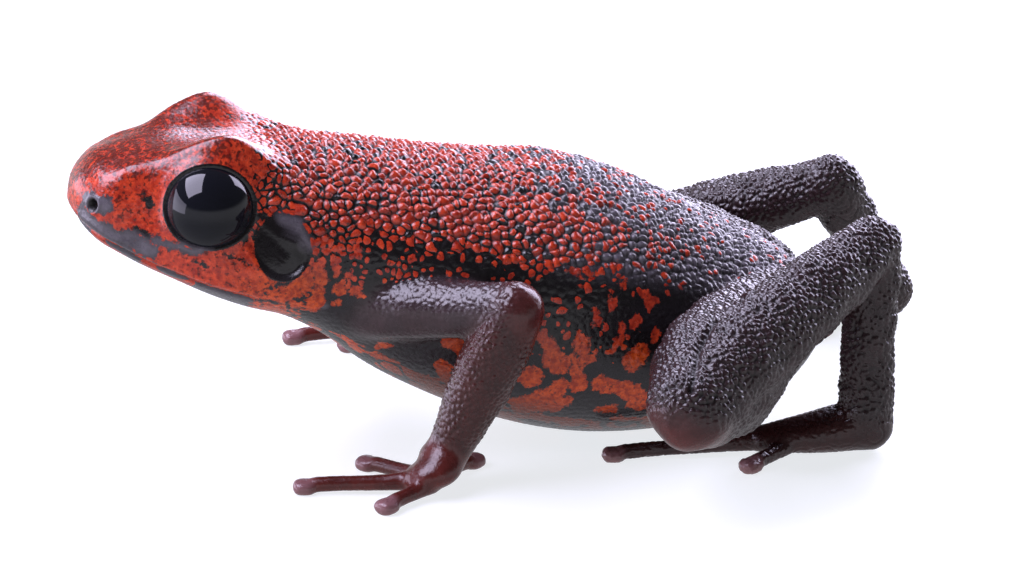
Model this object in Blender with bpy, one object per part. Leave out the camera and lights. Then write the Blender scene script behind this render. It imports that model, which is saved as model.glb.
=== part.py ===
"""A small poison frog, life-size and still, sitting with its head raised and its belly on the floor.

The snout points along -Y, the frog's left side is +X, and the floor is the plane z = 0.
Every table holds millimetres, and MM turns them into the metres of the scene.
"""

import math

import bmesh
import bpy
import numpy as np
from mathutils import Matrix, Vector

MM = 0.001

# The clear space between two pieces that touch, in millimetres.
GAP = 0.3

# The snout tip, the cut behind the ears and the end of the body, along Y.
SNOUT_Y = -10.8
NECK_Y = -3.95
VENT_Y = 11.1
# How much of each end of the body rounds off to its tip.
SNOUT_ROUND = 0.92
VENT_ROUND = 1.9

# Sections of head and body: place along Y, top, bottom, half width, height of the widest
# point, and how square the section is above and below that point (2 is an ellipse).
BODY_SECTIONS = [
    (-10.8, 8.66, 6.90, 1.58, 7.74, 2.3, 2.3),
    (-9.9, 8.86, 6.42, 1.98, 7.25, 2.5, 2.6),
    (-9.0, 9.10, 5.92, 2.42, 6.92, 2.6, 2.7),
    (-8.0, 9.26, 5.42, 2.85, 6.72, 2.6, 2.7),
    (-7.0, 9.24, 4.92, 3.22, 6.52, 2.6, 2.6),
    (-6.0, 9.16, 4.50, 3.42, 6.35, 2.5, 2.5),
    (-5.0, 9.04, 4.16, 3.45, 6.20, 2.4, 2.4),
    (-4.0, 8.90, 3.55, 3.38, 5.95, 2.3, 2.3),
    (-2.5, 8.68, 2.36, 3.50, 5.40, 2.2, 2.2),
    (-0.8, 8.36, 1.40, 3.85, 4.75, 2.2, 2.2),
    (1.0, 8.10, 0.62, 4.18, 4.10, 2.2, 2.2),
    (3.0, 7.90, 0.10, 4.36, 3.60, 2.2, 2.2),
    (5.0, 7.25, -0.06, 4.24, 3.30, 2.2, 2.2),
    (7.0, 6.20, 0.04, 3.80, 3.05, 2.1, 2.1),
    (8.8, 5.22, 0.42, 3.05, 2.90, 2.1, 2.1),
    (10.2, 4.52, 1.00, 2.35, 2.90, 2.0, 2.0),
    (11.1, 4.20, 1.40, 1.90, 2.95, 2.0, 2.0),
]

# Swellings and hollows of the head, given for the left side and made on both: place, reach
# along each axis, height, and the way that the skin is pushed.
HEAD_FORMS = {
    "brow": ((2.08, -6.40, 9.0), (0.92, 1.18, 1.2), 0.95, (0.15, 0.0, 1.0)),
    "brow_front": ((1.9, -7.60, 8.9), (0.65, 0.75, 0.9), 0.16, (0.2, -0.2, 1.0)),
    "between_eyes": ((0.0, -6.9, 9.2), (0.9, 1.5, 1.0), -0.10, (0.0, 0.0, 1.0)),
    "canthus": ((1.50, -9.2, 8.7), (0.35, 0.95, 0.45), 0.16, (0.6, 0.0, 0.8)),
    "lore": ((2.35, -8.9, 7.75), (0.8, 0.75, 0.5), -0.14, (1.0, 0.0, 0.0)),
    "cheek": ((3.3, -6.3, 6.35), (0.8, 1.3, 0.6), 0.12, (1.0, 0.0, 0.0)),
    "jaw_angle": ((3.3, -4.7, 5.6), (0.9, 0.8, 0.8), 0.10, (1.0, 0.0, 0.0)),
}

EYE_CENTRE = (2.22, -7.04, 7.82)
EYE_RADIUS = 1.30
EYE_GAP = 0.15
# The swelling that the lids make, behind and above the middle of the eye.
LIDS_CENTRE = (2.12, -6.94, 7.84)
LIDS_SIZE = (1.62, 1.68, 1.69)
# The way the eye looks, and the half width and half height of the opening between its lids.
EYE_FACES = (0.93, -0.17, 0.32)
EYE_OPENING = (1.22, 1.12)

# The mouth in side view, from before the lips to its corner, and the end of the lower jaw.
MOUTH_LINE = [(-12.5, 7.95), (-10.9, 7.34), (-9.9, 6.84), (-8.8, 6.30), (-7.2, 5.70), (-5.75, 5.30)]
JAW_REAR_Y = -4.75

NOSTRIL = (1.56, -10.26, 7.86)
NOSTRIL_RADIUS = 0.19
EAR_CENTRE = (3.32, -5.12, 6.90)
EAR_SIZE = (0.34, 0.80, 0.88)

# Joints of the limbs. The left arm and leg are the ones nearer the viewer.
ARMS = {
    "left": {
        "shoulder": (2.6, -2.6, 4.75),
        "elbow": (5.25, 1.05, 5.30),
        "wrist": (4.80, -0.72, 1.15),
        "palm": (5.15, -1.34, 0.50),
        "tips": [(3.20, 0.42), (2.85, -3.00), (4.50, -5.12), (6.60, -3.02)],
    },
    "right": {
        "shoulder": (-2.6, -2.6, 4.75),
        "elbow": (-6.75, 0.35, 4.70),
        "wrist": (-7.25, 0.30, 1.15),
        "palm": (-7.40, -0.45, 0.50),
        "tips": [(-6.05, 0.85), (-6.35, -2.15), (-7.40, -3.72), (-9.45, -2.35)],
    },
}
LEGS = {
    "left": {
        "hip": (1.70, 9.25, 3.35),
        "knee": (8.86, 5.38, 3.52),
        "heel": (4.00, 11.50, 6.12),
        "calf_rise": 0.20,
        "calf_size": 1.0,
        "ankle": (3.98, 11.42, 0.80),
        "sole": (3.82, 8.40, 0.45),
        "tips": [(2.55, 8.75), (2.35, 7.35), (2.85, 5.90), (3.60, 3.88), (5.30, 7.60)],
    },
    "right": {
        "hip": (-1.70, 9.25, 3.35),
        "knee": (-9.25, 6.25, 1.72),
        "heel": (-4.90, 12.35, 4.95),
        "calf_rise": 0.02,
        "calf_size": 0.88,
        "ankle": (-6.65, 14.50, 0.80),
        "sole": (-6.35, 11.50, 0.45),
        "tips": [(-5.10, 12.10), (-4.95, 10.30), (-5.40, 8.80), (-6.10, 7.30), (-7.95, 10.70)],
    },
}

# Half widths of each limb part, from its upper end to its lower end, evenly spaced.
UPPER_ARM = (1.00, 0.92, 0.84, 0.80, 0.84)
FOREARM = (0.86, 0.92, 0.88, 0.76, 0.64)
THIGH = (1.40, 1.54, 1.66, 1.62, 1.20)
SHANK = (1.12, 1.22, 1.20, 1.06, 0.86)
# How far the middle of the thigh lies above the straight line of the bone.
THIGH_RISE = 0.12
TARSUS = (0.84, 0.80, 0.76, 0.76, 0.80)
DIGIT = (0.34, 0.25, 0.22, 0.23)
DISC_WIDTH = 0.35
DISC_LENGTH = 0.62
DISC_DEPTH = 0.23

SKIN_DARK = (0.035, 0.018, 0.016)
SKIN_RED = (0.55, 0.06, 0.025)
EYE_BLACK = (0.006, 0.006, 0.008)


def clear_scene():
    for thing in list(bpy.data.objects):
        bpy.data.objects.remove(thing, do_unlink=True)


def finish(name, colour, roughness):
    """A Principled material of one colour."""
    made = bpy.data.materials.new(name)
    made.use_nodes = True
    shader = made.node_tree.nodes["Principled BSDF"]
    shader.inputs["Base Color"].default_value = (*colour, 1.0)
    shader.inputs["Roughness"].default_value = roughness
    shader.inputs["Metallic"].default_value = 0.0
    return made


def new_collection(name):
    made = bpy.data.collections.new(name)
    bpy.context.scene.collection.children.link(made)
    return made


def unit(vector):
    vector = np.asarray(vector, float)
    return vector / np.linalg.norm(vector)


def smooth_between(places, values, at):
    """Values at new places, on a smooth curve through the given ones."""
    places = np.asarray(places, float)
    values = np.asarray(values, float)
    slopes = np.gradient(values, places, axis=0)
    at = np.clip(np.asarray(at, float), places[0], places[-1])
    index = np.clip(np.searchsorted(places, at) - 1, 0, len(places) - 2)
    width = (places[index + 1] - places[index])[:, None]
    t = (at - places[index])[:, None] / width
    return (
        values[index] * (2 * t**3 - 3 * t**2 + 1)
        + slopes[index] * width * (t**3 - 2 * t**2 + t)
        + values[index + 1] * (3 * t**2 - 2 * t**3)
        + slopes[index + 1] * width * (t**3 - t**2)
    )


def loft(name, rings, collection):
    """A closed mesh through rings of equal count, each end closed by a fan to its middle."""
    shape = bmesh.new()
    rows = [[shape.verts.new(Vector(point) * MM) for point in ring] for ring in rings]
    sides = len(rows[0])
    for lower, upper in zip(rows, rows[1:]):
        for i in range(sides):
            j = (i + 1) % sides
            shape.faces.new((lower[i], lower[j], upper[j], upper[i]))
    for row, ring in ((rows[0], rings[0]), (rows[-1], rings[-1])):
        middle = shape.verts.new(Vector(np.mean(ring, axis=0)) * MM)
        for i in range(sides):
            shape.faces.new((row[i], row[(i + 1) % sides], middle))
    bmesh.ops.recalc_face_normals(shape, faces=shape.faces)
    return from_bmesh(name, shape, collection)


def from_bmesh(name, shape, collection):
    mesh = bpy.data.meshes.new(name)
    shape.to_mesh(mesh)
    shape.free()
    made = bpy.data.objects.new(name, mesh)
    collection.objects.link(made)
    return made


def edit(thing):
    shape = bmesh.new()
    shape.from_mesh(thing.data)
    return shape


def keep_edit(thing, shape):
    shape.to_mesh(thing.data)
    shape.free()
    thing.data.update()


def trim(thing, point, normal):
    """Cuts a closed mesh with a plane, keeps the side that the normal points to and closes it."""
    shape = edit(thing)
    everything = list(shape.verts) + list(shape.edges) + list(shape.faces)
    bmesh.ops.bisect_plane(
        shape,
        geom=everything,
        dist=1e-7,
        plane_co=Vector(point) * MM,
        plane_no=Vector(normal),
        clear_inner=True,
    )
    open_edges = [edge for edge in shape.edges if edge.is_boundary]
    bmesh.ops.holes_fill(shape, edges=open_edges, sides=0)
    bmesh.ops.recalc_face_normals(shape, faces=shape.faces)
    keep_edit(thing, shape)


def boolean(thing, operation, other, solver="EXACT"):
    """Applies one Boolean of a mesh object, or of a collection of them."""
    cut = thing.modifiers.new(operation, "BOOLEAN")
    cut.operation = operation
    cut.solver = solver
    if isinstance(other, bpy.types.Collection):
        cut.operand_type = "COLLECTION"
        cut.collection = other
    else:
        cut.object = other
    bpy.context.view_layer.update()
    graph = bpy.context.evaluated_depsgraph_get()
    mesh = bpy.data.meshes.new_from_object(thing.evaluated_get(graph))
    thing.modifiers.clear()
    old = thing.data
    thing.data = mesh
    bpy.data.meshes.remove(old)


def keep_largest(thing):
    """Drops every closed surface of the mesh but the one with the most points."""
    shape = edit(thing)
    unseen = set(shape.verts)
    islands = []
    while unseen:
        stack = [unseen.pop()]
        island = list(stack)
        while stack:
            for link in stack.pop().link_edges:
                for point in link.verts:
                    if point in unseen:
                        unseen.remove(point)
                        stack.append(point)
                        island.append(point)
        islands.append(island)
    islands.sort(key=len, reverse=True)
    for island in islands[1:]:
        bmesh.ops.delete(shape, geom=island, context="VERTS")
    keep_edit(thing, shape)


def grown(thing, distance, collection):
    """A helper copy of a mesh, with its surface moved out by a distance."""
    shape = edit(thing)
    shape.normal_update()
    moves = [(point, point.normal * distance * MM) for point in shape.verts]
    for point, move in moves:
        point.co += move
    return from_bmesh(thing.name + "_grown", shape, collection)


def body_ring(y, sides):
    """One section of head and body at y, rounded off near the snout and the vent."""
    table = np.array(BODY_SECTIONS)
    top, bottom, wide, middle, above, below = smooth_between(table[:, 0], table[:, 1:], [y])[0]
    from_snout = np.clip((y - SNOUT_Y) / SNOUT_ROUND, 0.0, 1.0)
    from_vent = np.clip((VENT_Y - y) / VENT_ROUND, 0.0, 1.0)
    full = math.sqrt(1 - (1 - from_snout) ** 2) * math.sqrt(1 - (1 - from_vent) ** 2)
    turn = np.linspace(0, 2 * math.pi, sides, endpoint=False) + math.pi / sides
    cosine, sine = np.cos(turn), np.sin(turn)
    power = np.where(sine > 0, 2 / above, 2 / below)
    x = wide * full * np.sign(cosine) * np.abs(cosine) ** power
    height = np.where(sine > 0, top - middle, middle - bottom) * full
    z = middle + height * np.sign(sine) * np.abs(sine) ** power
    return np.column_stack([x, np.full(sides, y), z])


def shape_head(thing):
    """Pushes the brows, the canthus, the lores and the cheeks out or in."""
    for place, reach, height, way in HEAD_FORMS.values():
        sides = (1,) if place[0] == 0 else (1, -1)
        for side in sides:
            centre = np.array(place) * (side, 1, 1)
            push = unit(np.array(way) * (side, 1, 1)) * height
            for point in thing.data.vertices:
                away = (np.array(point.co) / MM - centre) / np.array(reach)
                point.co += Vector(push * math.exp(-away @ away)) * MM


def sphere(name, centre, size, collection, segments=24, rings=14):
    """A UV sphere stretched to three half sizes."""
    shape = bmesh.new()
    bmesh.ops.create_uvsphere(shape, u_segments=segments, v_segments=rings, radius=MM)
    bmesh.ops.scale(shape, vec=size, verts=shape.verts)
    bmesh.ops.translate(shape, vec=Vector(centre) * MM, verts=shape.verts)
    return from_bmesh(name, shape, collection)


def prism(name, outline, half_width, collection):
    """A flat outline of (y, z) points drawn out along X to both sides."""
    shape = bmesh.new()
    ends = [
        [shape.verts.new(Vector((x, y, z)) * MM) for y, z in outline]
        for x in (-half_width, half_width)
    ]
    for end in ends:
        shape.faces.new(end)
    for i in range(len(outline)):
        j = (i + 1) % len(outline)
        shape.faces.new((ends[0][i], ends[0][j], ends[1][j], ends[1][i]))
    bmesh.ops.recalc_face_normals(shape, faces=shape.faces)
    return from_bmesh(name, shape, collection)


def jaw_outline(clear):
    """The lower jaw's room in side view, larger by clear on the two sides that meet the head."""
    front, low = MOUTH_LINE[0][0], 0.0
    lips = [(y, z + clear) for y, z in MOUTH_LINE[:-1]]
    corner_y, corner_z = MOUTH_LINE[-1]
    return [*lips, (corner_y + clear, corner_z + clear), (JAW_REAR_Y + clear, low), (front, low)]


def opening(centre, facing, helpers):
    """A cutter shaped like the space between the lids, standing out from the eye's middle."""
    facing = unit(facing)
    across = unit(np.cross((0.0, 0.0, 1.0), facing))
    up = np.cross(facing, across)
    turn = np.linspace(0, 2 * math.pi, 28, endpoint=False)
    wide, high = EYE_OPENING
    rim = np.outer(np.cos(turn) * wide, across) + np.outer(np.sin(turn) * high, up)
    rings = [centre + facing * reach + rim * share for reach, share in ((0.3, 0.7), (2.6, 1.35))]
    return loft("opening", rings, helpers)


def make_head(parts, helpers):
    """Head and lower jaw, parted along the mouth, with sockets, ears and nostrils cut in."""
    spread = np.linspace(0, 1, 26)
    ys = SNOUT_Y + 0.02 + (NECK_Y - GAP / 2 - SNOUT_Y - 0.02) * spread**1.25
    head = loft("head", [body_ring(y, 40) for y in ys], parts)
    shape_head(head)
    for side in (1, -1):
        lids = sphere("lids", np.array(LIDS_CENTRE) * (side, 1, 1), LIDS_SIZE, helpers, 22, 14)
        boolean(head, "UNION", lids)

    jaw = head.copy()
    jaw.data = head.data.copy()
    jaw.name = "lower_jaw"
    parts.objects.link(jaw)
    boolean(jaw, "INTERSECT", prism("jaw_room", jaw_outline(-GAP / 2), 6, helpers))
    boolean(head, "DIFFERENCE", prism("jaw_gap", jaw_outline(GAP / 2), 6, helpers))

    for name, side in (("left", 1), ("right", -1)):
        mirrored = np.array((side, 1, 1))
        centre = np.array(EYE_CENTRE) * mirrored
        room = EYE_RADIUS + EYE_GAP
        boolean(head, "DIFFERENCE", opening(centre, np.array(EYE_FACES) * mirrored, helpers))
        boolean(head, "DIFFERENCE", sphere("socket", centre, (room,) * 3, helpers, 22, 14))
        boolean(head, "DIFFERENCE", ear_dish(mirrored, helpers))
        nostril = sphere("nostril", np.array(NOSTRIL) * mirrored, (NOSTRIL_RADIUS,) * 3, helpers, 12, 8)
        boolean(head, "DIFFERENCE", nostril)
        eye = sphere(f"eye_{name}", centre, (EYE_RADIUS,) * 3, parts, 20, 12)
        eye.data.shade_smooth()
    for piece in (head, jaw):
        keep_largest(piece)
    return head, jaw


def ear_dish(mirrored, helpers):
    """The shallow dish of the eardrum."""
    return sphere("ear_dish", np.array(EAR_CENTRE) * mirrored, EAR_SIZE, helpers, 18, 10)


def make_torso(parts):
    ys = np.linspace(NECK_Y + GAP / 2, VENT_Y - 0.03, 28)
    torso = loft("torso", [body_ring(y, 32) for y in ys], parts)
    trim(torso, (0, 0, 0), (0, 0, 1))
    return torso


def limb_rings(points, widths, sides, rings, depths=None, cap=4, turned=0.0):
    """Rings round a smooth line through points. Both ends are rounded like half a ball."""
    points = np.asarray(points, float)
    steps = np.concatenate([[0], np.cumsum(np.linalg.norm(np.diff(points, axis=0), axis=1))])
    steps /= steps[-1]
    widths = np.asarray(widths, float)
    depths = widths if depths is None else np.asarray(depths, float)
    sizes = np.column_stack([widths, depths])
    size_steps = np.linspace(0, 1, len(sizes))
    at = np.linspace(0, 1, rings)
    line = smooth_between(steps, points, at)
    size = smooth_between(size_steps, sizes, at)
    along = np.gradient(line, axis=0)
    along /= np.linalg.norm(along, axis=1)[:, None]
    made = []
    turn = np.linspace(0, 2 * math.pi, sides, endpoint=False) + turned
    bend = np.linspace(0, math.pi / 2, cap + 1)

    def ring(centre, way, half):
        up = np.array((0.0, 0.0, 1.0)) if abs(way[2]) < 0.9 else np.array((0.0, -1.0, 0.0))
        side = unit(np.cross(way, up))
        up = np.cross(side, way)
        return centre + np.outer(np.cos(turn) * half[0], side) + np.outer(np.sin(turn) * half[1], up)

    for angle in bend[1:-1]:
        reach, share = math.cos(angle) * size[0].min(), math.sin(angle)
        made.append(ring(line[0] - along[0] * reach, along[0], size[0] * share))
    for i in range(rings):
        made.append(ring(line[i], along[i], size[i]))
    for angle in bend[-2:0:-1]:
        reach, share = math.cos(angle) * size[-1].min(), math.sin(angle)
        made.append(ring(line[-1] + along[-1] * reach, along[-1], size[-1] * share))
    return made


def joint_plane(before, joint, after):
    """The plane that halves a joint. Its normal points to the part before the joint."""
    return unit(unit(np.subtract(before, joint)) - unit(np.subtract(after, joint)))


def part_at_joint(upper, lower, before, joint, after):
    """Trims the two parts that share a joint, and leaves the gap between their cut faces."""
    normal = joint_plane(before, joint, after)
    trim(upper, np.array(joint) + normal * GAP / 2, normal)
    trim(lower, np.array(joint) - normal * GAP / 2, -normal)


def make_digits(name, base, roots, tips, parts, helpers):
    """Joins a palm or sole with its digits. Each digit ends in a flat disc on the floor."""
    union = bpy.data.collections.new(name + "_digits")
    helpers.children.link(union)
    for root, tip in zip(roots, tips):
        root = np.array(root, float)
        tip = np.array((*tip, DISC_DEPTH - 0.05))
        way = unit((tip - root) * (1, 1, 0))
        heel = tip - way * DISC_LENGTH + (0, 0, 0.07)
        last = heel - way * 0.31 + (0, 0, 0.02)
        line = [root, (root + last) / 2 - (0, 0, 0.03), last, heel]
        loft("digit", limb_rings(line, DIGIT, 8, 6, cap=2, turned=0.23), union)
        middle = tip - way * DISC_LENGTH / 2
        ends = [middle - way * 0.12, middle + way * 0.12]
        disc_rings = limb_rings(ends, (DISC_WIDTH, DISC_WIDTH), 10, 2, (DISC_DEPTH,) * 2, cap=3, turned=0.11)
        loft("disc", disc_rings, union)
    boolean(base, "UNION", union)
    keep_largest(base)
    trim(base, (0, 0, 0), (0, 0, 1))


def make_arm(side, parts, helpers, torso_room):
    places = ARMS[side]
    shoulder, elbow = places["shoulder"], places["elbow"]
    wrist, palm = places["wrist"], places["palm"]
    upper = loft(f"upper_arm_{side}", limb_rings([shoulder, elbow], UPPER_ARM, 14, 9), parts)
    fore = loft(f"forearm_{side}", limb_rings([elbow, wrist], FOREARM, 14, 9), parts)
    mean_tip = np.mean([tip for tip in places["tips"][1:]], axis=0)
    ahead = unit(np.array((*mean_tip, 0.0)) - np.array(palm) * (1, 1, 0))
    front = np.array(palm) + ahead * 0.35
    hand_line = [wrist, np.array(palm) * (1, 1, 0) + (0, 0, 0.62), front * (1, 1, 0) + (0, 0, 0.42)]
    rings = limb_rings(hand_line, (0.64, 0.82, 0.65), 14, 7, (0.62, 0.56, 0.40))
    hand = loft(f"hand_{side}", rings, parts)
    root = np.array(palm) * (1, 1, 0) + (0, 0, 0.40)
    across = np.array((-ahead[1], ahead[0], 0)) * (1 if side == "left" else -1)
    offsets = (0.42, 0.22, 0.0, -0.28)
    roots = [root + across * offset * (-1) for offset in offsets]
    make_digits(hand.name, hand, roots, places["tips"], parts, helpers)
    boolean(upper, "DIFFERENCE", torso_room)
    keep_largest(upper)
    part_at_joint(upper, fore, shoulder, elbow, wrist)
    part_at_joint(fore, hand, elbow, wrist, palm)


def make_leg(side, parts, helpers, torso_room):
    places = LEGS[side]
    hip, knee, heel = places["hip"], places["knee"], places["heel"]
    ankle, sole = places["ankle"], places["sole"]
    rump = np.add(hip, knee) / 2 + (0, 0, THIGH_RISE)
    calf = np.array(knee) * 0.62 + np.array(heel) * 0.38 + (0, 0, places["calf_rise"])
    thigh = loft(f"thigh_{side}", limb_rings([hip, rump, knee], THIGH, 16, 10), parts)
    shank = loft(f"shank_{side}", limb_rings([knee, calf, heel], np.array(SHANK) * places["calf_size"], 14, 12), parts)
    tarsus = loft(f"tarsus_{side}", limb_rings([heel, ankle], TARSUS, 12, 9), parts)
    middle = (np.array(ankle) + np.array(sole)) / 2 * (1, 1, 0) + (0, 0, 0.58)
    rings = limb_rings([ankle, middle, sole], (0.78, 0.72, 0.50), 12, 8, (0.78, 0.58, 0.36))
    foot = loft(f"foot_{side}", rings, parts)
    line = np.array(ankle) - np.array(sole)
    shares = (0.50, 0.30, 0.10, 0.0, 0.42)
    roots = [np.array(sole) + line * share * (1, 1, 0) for share in shares]
    make_digits(foot.name, foot, roots, places["tips"], parts, helpers)
    boolean(thigh, "DIFFERENCE", torso_room)
    keep_largest(thigh)
    part_at_joint(thigh, shank, hip, knee, heel)
    part_at_joint(shank, tarsus, knee, heel, ankle)
    part_at_joint(tarsus, foot, heel, ankle, sole)


def stand_on_origin(parts):
    """Moves the whole frog so that the origin lies under the middle of its box."""
    corners = np.array([point.co for thing in parts.objects for point in thing.data.vertices])
    middle = (corners.min(axis=0) + corners.max(axis=0)) / 2
    for thing in parts.objects:
        thing.data.transform(Matrix.Translation((-middle[0], -middle[1], 0.0)))


def main():
    clear_scene()
    parts = new_collection("poison_frog")
    helpers = new_collection("cutters")
    helpers.hide_render = True
    torso = make_torso(parts)
    torso_room = grown(torso, GAP, helpers)
    make_head(parts, helpers)
    for side in ("left", "right"):
        make_arm(side, parts, helpers, torso_room)
        make_leg(side, parts, helpers, torso_room)
    for helper in list(helpers.all_objects):
        bpy.data.objects.remove(helper, do_unlink=True)
    stand_on_origin(parts)

    dark = finish("dark_skin", SKIN_DARK, 0.32)
    red = finish("red_skin", SKIN_RED, 0.32)
    black = finish("eye_black", EYE_BLACK, 0.05)
    for thing in parts.objects:
        if thing.name.startswith("eye"):
            thing.data.materials.append(black)
        elif thing.name in ("head", "lower_jaw", "torso"):
            thing.data.materials.append(red)
        else:
            thing.data.materials.append(dark)


if __name__ == "__main__":
    main()
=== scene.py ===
"""A life-size poison frog, sitting still: wet granular skin, black eyes and a pale studio floor.

The tables hold millimetres in the maker's own frame: the snout points along -Y, the frog's left
side is +X and the floor is z = 0. One skin stands for all the flesh, and the eyes are their own.
"""

import functools
import math

import bpy
import numpy as np
from mathutils import Matrix, Vector, kdtree


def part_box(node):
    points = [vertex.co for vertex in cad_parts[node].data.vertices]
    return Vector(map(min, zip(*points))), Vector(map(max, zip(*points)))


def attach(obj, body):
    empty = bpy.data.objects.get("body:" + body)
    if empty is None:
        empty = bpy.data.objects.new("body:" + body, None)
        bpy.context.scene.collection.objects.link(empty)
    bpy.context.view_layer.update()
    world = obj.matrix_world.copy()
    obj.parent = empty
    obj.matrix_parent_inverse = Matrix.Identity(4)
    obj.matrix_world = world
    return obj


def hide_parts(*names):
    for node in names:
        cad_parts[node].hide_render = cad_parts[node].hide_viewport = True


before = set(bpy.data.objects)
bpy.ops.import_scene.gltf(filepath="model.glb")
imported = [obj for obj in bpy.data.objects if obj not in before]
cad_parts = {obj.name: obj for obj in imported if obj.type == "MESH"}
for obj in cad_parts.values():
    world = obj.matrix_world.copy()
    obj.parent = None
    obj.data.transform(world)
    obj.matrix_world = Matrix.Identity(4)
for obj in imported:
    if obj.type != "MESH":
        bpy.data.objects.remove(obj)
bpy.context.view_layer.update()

bl_info = {
    "name": "Poison Frog Figure",
    "version": (1, 0, 0),
    "blender": (4, 5, 0),
    "location": "View3D > Sidebar > Frog",
    "description": "Builds the wet granular skin, the black eyes and the stage of a poison frog",
    "category": "Add Mesh",
}

# A millimetre in metres, and a metre in millimetres.
MM = 0.001
METRE = 1000

# Sections of head and body: place along Y, top, bottom, half width, height of the widest
# point, and how square the section is above and below that point (2 is an ellipse).
BODY_SECTIONS = [
    (-10.8, 8.66, 6.90, 1.58, 7.74, 2.3, 2.3),
    (-9.9, 8.86, 6.42, 1.98, 7.25, 2.5, 2.6),
    (-9.0, 9.10, 5.92, 2.42, 6.92, 2.6, 2.7),
    (-8.0, 9.26, 5.42, 2.85, 6.72, 2.6, 2.7),
    (-7.0, 9.24, 4.92, 3.22, 6.52, 2.6, 2.6),
    (-6.0, 9.16, 4.50, 3.42, 6.35, 2.5, 2.5),
    (-5.0, 9.04, 4.16, 3.45, 6.20, 2.4, 2.4),
    (-4.0, 8.90, 3.55, 3.38, 5.95, 2.3, 2.3),
    (-2.5, 8.68, 2.36, 3.50, 5.40, 2.2, 2.2),
    (-0.8, 8.36, 1.40, 3.85, 4.75, 2.2, 2.2),
    (1.0, 8.10, 0.62, 4.18, 4.10, 2.2, 2.2),
    (3.0, 7.90, 0.10, 4.36, 3.60, 2.2, 2.2),
    (5.0, 7.25, -0.06, 4.24, 3.30, 2.2, 2.2),
    (7.0, 6.20, 0.04, 3.80, 3.05, 2.1, 2.1),
    (8.8, 5.22, 0.42, 3.05, 2.90, 2.1, 2.1),
    (10.2, 4.52, 1.00, 2.35, 2.90, 2.0, 2.0),
    (11.1, 4.20, 1.40, 1.90, 2.95, 2.0, 2.0),
]
SNOUT_ROUND = 0.92
VENT_ROUND = 1.9

# Swellings and hollows of the head, given for the left side and made on both: place, reach
# along each axis, height, and the way that the skin is pushed.
HEAD_FORMS = {
    "brow": ((2.08, -6.46, 9.0), (0.94, 1.34, 1.2), 0.93, (0.15, 0.0, 1.0)),
    "brow_front": ((1.9, -7.60, 8.9), (0.65, 0.75, 0.9), 0.16, (0.2, -0.2, 1.0)),
    "between_eyes": ((0.0, -6.9, 9.2), (0.9, 1.5, 1.0), -0.10, (0.0, 0.0, 1.0)),
    "canthus": ((1.50, -9.2, 8.7), (0.35, 0.95, 0.45), 0.16, (0.6, 0.0, 0.8)),
    "lore": ((2.35, -8.9, 7.75), (0.8, 0.75, 0.5), -0.14, (1.0, 0.0, 0.0)),
    "cheek": ((3.3, -6.3, 6.35), (0.8, 1.3, 0.6), 0.12, (1.0, 0.0, 0.0)),
    "jaw_angle": ((3.3, -4.7, 5.6), (0.9, 0.8, 0.8), 0.10, (1.0, 0.0, 0.0)),
}

EYE_CENTRE = (2.22, -7.04, 7.82)
EYE_RADIUS = 1.30
EYE_BALL = 1.29
EYE_FACES = (0.93, -0.17, 0.32)
EYE_OPENING = (1.22, 1.12)
LIDS_CENTRE = (2.12, -6.94, 7.84)
LIDS_SIZE = (1.62, 1.68, 1.69)
MOUTH_LINE = [(-12.5, 7.95), (-10.9, 7.34), (-9.9, 6.84), (-8.8, 6.30), (-7.2, 5.70), (-5.75, 5.30)]
NOSTRIL = (1.56, -10.26, 7.86)
EAR_CENTRE = (3.32, -5.16, 6.86)
EAR_SIZE = (0.74, 0.84)

# How far the edge of a mark takes to go from skin to mark, in millimetres.
MARK_SOFT = 0.34
SLATE_SOFT = 0.30

# The photograph's size in pixels, which the pixels below count in.
PICTURE = (1024, 576)
SENSOR_WIDTH = 36.0

# Marks of the left side, made on both, as strokes: half width in millimetres, and the pixels
# of the photograph that the stroke runs through.
SLATE_MARKS = [
    (0.16, (80, 212), (90, 225), (105, 236), (125, 248)),
    (0.11, (125, 248), (150, 261), (170, 272)),
    (0.12, (84, 200), (80, 212)),
    (0.26, (87, 201), (107, 204)),
    (0.22, (84, 214), (100, 226), (121, 237), (154, 252)),
    (0.13, (154, 240), (168, 245), (190, 251), (207, 251)),
    (0.15, (283, 216), (299, 228), (309, 244)),
    (0.12, (291, 230), (302, 243)),
]
SOOT_MARKS = [
    (0.13, (146, 199), (150, 203)), (0.11, (134, 229), (148, 237)), (0.10, (122, 214)),
    (0.14, (254, 214), (268, 222)), (0.07, (240, 244), (251, 236)),
    (0.06, (228, 254), (240, 262), (248, 268)), (0.05, (196, 262), (206, 266)),
    (0.07, (262, 294), (278, 286), (292, 284)),
    (0.07, (256, 300), (276, 303), (296, 298), (318, 296)),
    (0.07, (312, 282), (318, 300), (330, 308)), (0.06, (285, 300), (292, 312)),
]
NECK_SPOTS = [
    (0.22, (317, 268)), (0.14, (334, 263), (336, 272)), (0.16, (345, 276)), (0.20, (340, 287)),
    (0.27, (285, 296), (304, 279)), (0.20, (321, 280), (318, 298), (313, 307)),
    (0.22, (297, 306)), (0.18, (357, 290)), (0.13, (338, 303)), (0.14, (315, 251)),
    (0.12, (326, 252)), (0.17, (338, 250)), (0.13, (324, 240)), (0.11, (313, 240)),
    (0.15, (356, 250)),
]
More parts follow.
